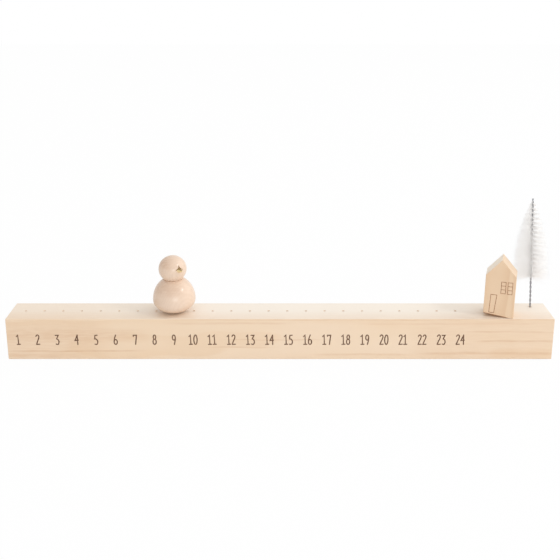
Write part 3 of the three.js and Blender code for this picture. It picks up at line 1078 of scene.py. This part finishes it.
def makeHouse():
    turn = math.radians(house["turn"])
    seat = houseSeat @ Matrix.Rotation(turn, 4, "Z")
    right, rear, ridge = boxIn(seat, "house_block")[1]
    eaves = max(point.z for point in pointsIn(seat, "house_block") if abs(point.x) > right - 0.01)
    base = house["foot"]
    outline = [(-right, base), (house["cutReach"] * right, base), (right, base)]
    outline += [(right, eaves), (0, ridge), (-right, eaves)]
    points = [(x, -rear, z) for x, z in outline] + [(x, rear, z) for x, z in outline]
    points[0] = (-right, -rear, base + house["cutRise"])
    faces = ringFaces(2, len(outline))
    under = next(face for face in faces if set(face) == {0, 1, 6, 7})
    faces.remove(under)
    faces += [(0, 1, 6), (1, 7, 6)]
    shape = openShape(points, faces)
    edge = {"offset": house["edge"], "segments": house["edgeSegments"], "profile": 0.5}
    bmesh.ops.bevel(shape, geom=shape.edges[:], affect="EDGES", **edge)
    bmesh.ops.recalc_face_normals(shape, faces=shape.faces)
    pine = makeHousePineMaterial(turn)
    scorched = makeScorchedMaterial("scorchedLine", house["scorched"], house["scorchedDark"])
    piece = newPiece("house_block_wood", *closeShape(shape), [pine, scorched])

    points, faces = drilledHole(snowman["socketRadius"], snowman["socketDepth"])
    upwards = Matrix.Translation((0, 0, base)) @ Matrix.Rotation(math.pi, 4, "X")
    carve(piece, [(movePoints(points, upwards), faces)])
    front = Matrix.Translation((-right, -rear, base))
    frames = [(rectangle(*house["door"], house["doorFoot"]), True)]
    frames += [(rectangle(*window), True) for window in house["windows"]]
    carve(piece, engrave(frames, front, house["stroke"], house["depth"]))
    bars = []
    for left, rightEdge, bottom, top in house["windows"]:
        for bar in range(1, house["windowBars"] + 1):
            height = bottom + (top - bottom) * bar / (house["windowBars"] + 1)
            bars.append(([Vector((left, height)), Vector((rightEdge, height))], False))
    carve(piece, engrave(bars, front, house["stroke"], house["depth"]))
    scorch(piece, -rear, house["depth"], right - house["sideGap"], base + house["baseGap"], eaves)
    seat.translation *= mm
    piece.data.transform(seat)
    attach(piece, "house")
    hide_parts("house_block")


makeHouse()
print("house made")


# Tree: two wires twisted round thousands of filaments

tree = {
    "height": 105.5,  # along the stem, above the beam
    "inBeam": 14,
    "twist": 8.6,  # length of stem that holds one full turn, which winds to the left
    "bristleStart": 30, "bareTip": 2,
}

wire = {
    "radius": 0.42,
    "offset": 0.5,  # of each wire's middle from the stem's axis
    "cutEnd": 0.45,  # share of the radius at a cut end, which is rounded off over so many steps
    "cutSteps": 2, "sides": 14,
    "steps": 20,  # in each turn
    "sharpAngle": 50, "metallic": 0.85, "patches": (0.8, 0.8, 0.8), "patchRange": (0.35, 0.65),
    "clean": screenColour(172, 173, 178), "worn": screenColour(136, 137, 142),
    "roughness": (0.38, 0.55),
    "paintedVeil": 0.55,  # among the bristles the wire is painted this far towards the nylon's white: painted light from the white filaments round it, and their veil over it
    "paintedVeilStart": (-1, 8),  # from and to, above the bristles' start
    "paintedVeilEnd": (-45, -8),  # above the tree's top
}

bristle = {
    "skirt": 18.6, "tipReach": 1.8, "taper": 2.25, "tiers": 4, "count": 3200, "radius": 0.035,
    "stations": ((0.0, 1.0), (0.45, 1.0), (0.8, 0.9)),  # shares of the length, and thickness at each
    "cutHeight": 9.5,  # the bristles are cut back in steps of this height
    "cutStep": 1.0,
    "shortest": 0.12,  # share of its length that a filament can be too short by
    # degrees at the tip, and how many more at the skirt
    "spread": (20, 26), "droopSpread": (1.5, 3.5), "droop": 3, "curl": 0.035, "seed": 24,
    "nylon": screenColour(252, 250, 248), "nylonShade": screenColour(247, 245, 243),
    "glow": 0.14,  # painted light: the filaments glow by this much, standing in for the light that the clear filaments pass on to each other
    "roughness": 0.42, "specular": 0.4, "strands": (0.5, 0.5, 2.0), "strandRange": (0.35, 0.65),
}
bristleSpan = tree["height"] - tree["bareTip"] - tree["bristleStart"]


def makeWireMaterial():
    material, graph, socket, colour = startMetal("dullWire", wire)
    height = splitVector(timberPoint(graph))["Z"]
    start = beamHigh.z + tree["bristleStart"]
    top = beamHigh.z + tree["height"]
    # Painted light: among the bristles the wire is painted towards the nylon's white
    starting = remap(height, *(start + rise for rise in wire["paintedVeilStart"]))
    ending = remap(height, *(top + rise for rise in wire["paintedVeilEnd"]), 1, 0)
    paintedVeil = doMath("MULTIPLY", doMath("MULTIPLY", starting, ending), wire["paintedVeil"])
    plug(socket, mixColour(paintedVeil, colour, bristle["nylon"]))
    return material


def makeNylonMaterial():
    settings = {"Roughness": bristle["roughness"], "Specular IOR Level": bristle["specular"]}
    # Painted light: the nylon glows in its own colour
    settings["Emission Strength"] = bristle["glow"]
    material, graph, shader = newMaterial("whiteNylon", settings)
    strand = addNoise(timberPoint(graph), bristle["strands"])
    colour = mixColour(remap(strand, *bristle["strandRange"]), bristle["nylon"], bristle["nylonShade"])
    plugAll(shader, {"Base Color": colour, "Emission Color": colour})
    return material


def makeWires():
    material = makeWireMaterial()
    length = tree["height"] + tree["inBeam"]
    steps = math.ceil(length / tree["twist"] * wire["steps"])
    pitch = Vector((0, 0, tree["twist"] / (2 * math.pi)))
    for side, node in ((1, "tree_wire_a"), (-1, "tree_wire_b")):
        points = []
        for step in range(steps + 1):
            height = -tree["inBeam"] + length * step / steps
            angle = math.pi / 2 - 2 * math.pi * height / tree["twist"]
            out = Vector((math.cos(angle), math.sin(angle), 0)) * side
            ahead = Vector((out.y, -out.x, 0)) * wire["offset"] + pitch
            across = ahead.normalized().cross(out)
            fromEnd = min(step, steps - step)
            growth = (1 - wire["cutEnd"]) * math.sqrt(fromEnd / wire["cutSteps"])
            radius = wire["radius"] * min(1, wire["cutEnd"] + growth)
            middle = out * wire["offset"] + Vector((0, 0, height))
            for corner in range(wire["sides"]):
                turn = 2 * math.pi * corner / wire["sides"]
                reach = out * math.cos(turn) + across * math.sin(turn)
                points.append(treeSeat @ (middle + reach * radius))
        faces = ringFaces(steps + 1, wire["sides"])
        piece = newPiece(node + "_strand", *outward((points, faces)), [material])
        smoothShade(piece, wire["sharpAngle"])
        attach(piece, "tree")
        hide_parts(node)


def reachAt(height):
    share = (height - tree["bristleStart"]) / bristleSpan
    widening = (bristle["skirt"] - bristle["tipReach"]) * (1 - share ** bristle["taper"])
    return bristle["tipReach"] + widening


# Each filament is a slim closed spike of three sides that starts between the wires.
def makeFilaments():
    material = makeNylonMaterial()
    chance = np.random.default_rng(bristle["seed"])
    tierSpan = bristleSpan / bristle["tiers"]
    pairs = bristle["count"] // bristle["tiers"]
    count = pairs * 2
    none = np.zeros(count)
    up = np.array([0, 0, 1.0])
    seat = np.array(treeSeat)
    ownFaces = [(2, 1, 0)]
    for ring in (0, 3):
        for corner in range(3):
            a = ring + corner
            b = ring + (corner + 1) % 3
            ownFaces += [(a, b, b + 3), (a, b + 3, a + 3)]
    ownFaces += [(6, 7, 9), (7, 8, 9), (8, 6, 9)]
    firstPoints = np.arange(count)[:, None, None] * 10
    faces = (np.array(ownFaces)[None] + firstPoints).reshape(-1, 3).tolist()
    for tier in range(bristle["tiers"]):
        start = tree["bristleStart"] + tier * tierSpan
        height = np.repeat(start + chance.random(pairs) * tierSpan, 2)
        side = np.tile([1.0, -1.0], pairs)
        low = 1 - (height - tree["bristleStart"]) / bristleSpan  # 1 at the skirt, 0 at the tip
        ranges = (bristle["spread"], bristle["droopSpread"])
        spread, droopSpread = (np.radians(least + more * low) for least, more in ranges)
        angle = chance.normal(0, 1, count) * spread - 2 * np.pi * height / tree["twist"]
        step = 1 - (tree["height"] - height) / bristle["cutHeight"] % 1
        shortness = 1 - bristle["shortest"] * chance.random(count) ** 3
        reach = ((reachAt(height) - bristle["cutStep"] * step) * shortness)[:, None]
        droop = (np.radians(bristle["droop"]) + chance.normal(0, 1, count) * droopSpread)[:, None]
        curl = chance.normal(0, bristle["curl"], (count, 2))
        out = np.stack([np.cos(angle), np.sin(angle), none], 1) * side[:, None]
        across = np.stack([-out[:, 1], out[:, 0], none], 1)
        axis = out * np.cos(droop) - up * np.sin(droop)
        bend = across * curl[:, :1] + up * curl[:, 1:]
        root = np.stack([none, none, height], 1)
        stations = []
        for share, thick in bristle["stations"]:
            centre = root + (axis * share + bend * share**2) * reach
            for corner in range(3):
                turn = 2 * np.pi * corner / 3
                offset = across * np.cos(turn) + up * np.sin(turn)
                stations.append(centre + offset * bristle["radius"] * thick)
        stations.append(root + (axis + bend) * reach)
        points = np.stack(stations, 1).reshape(-1, 3) @ seat[:3, :3].T + seat[:3, 3]
        piece = newPiece(f"tree_filaments_{tier + 1}", points, faces, [material])
        piece.data.shade_smooth()
        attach(piece, "tree")
        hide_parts(f"tree_bristles_{tier + 1}")


makeWires()
makeFilaments()
print("tree made")
